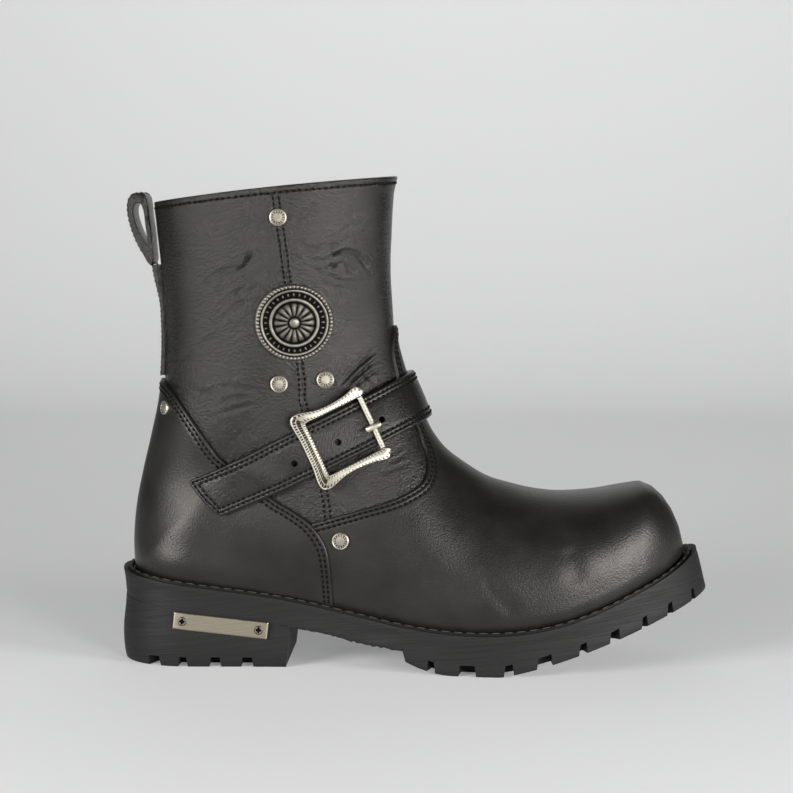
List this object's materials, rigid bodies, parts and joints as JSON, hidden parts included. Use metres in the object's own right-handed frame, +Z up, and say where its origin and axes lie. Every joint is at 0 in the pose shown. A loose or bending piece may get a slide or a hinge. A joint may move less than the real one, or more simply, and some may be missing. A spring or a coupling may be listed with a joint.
{
  "type": "motorcycle boot",
  "caption": "Black leather pull-on motorcycle boot for the right foot, with a round toe, buckled ankle strap, metal disc and rivets on the shaft, pull loop and lugged rubber sole with block heel.",
  "frame": {"origin": "middle of the boot's footprint box, on the floor under the sole", "axes": "+X to the toe, +Z up, the outer side of the foot with the buckle at -Y"},
  "size_m": [0.3168, 0.1104, 0.2601],
  "materials": {
    "shaft_leather": "black grained leather, satin, soft creases",
    "foot_leather": "black smooth leather, satin, with a soft sheen",
    "strap_leather": "black leather with cut edges",
    "welt_leather": "black welt with grey stitches",
    "lining": "dark lining",
    "rubber": "matt black rubber, brushed side",
    "nickel": "antique nickel",
    "antique_silver": "antique silver with dark recesses",
    "plate": "brushed pale nickel"
  },
  "bodies": {
    "root": {"outsole": "rubber", "heel": "rubber", "welt": "welt_leather", "insole": "lining", "upper": "shaft_leather", "vamp": "foot_leather", "counter": "foot_leather", "back_strip": "strap_leather", "pull_loop": "strap_leather", "strap": "strap_leather", "buckle_frame": "nickel", "buckle_bar": "nickel", "buckle_prong": "nickel", "medallion": "antique_silver", "rivet_shaft_top": "nickel", "rivet_shaft_back": "nickel", "rivet_shaft_front": "nickel", "rivet_vamp": "nickel", "rivet_counter": "nickel", "heel_plate": "plate", "plate_screw_back": "plate", "plate_screw_front": "plate"}
  },
  "joints": []
}
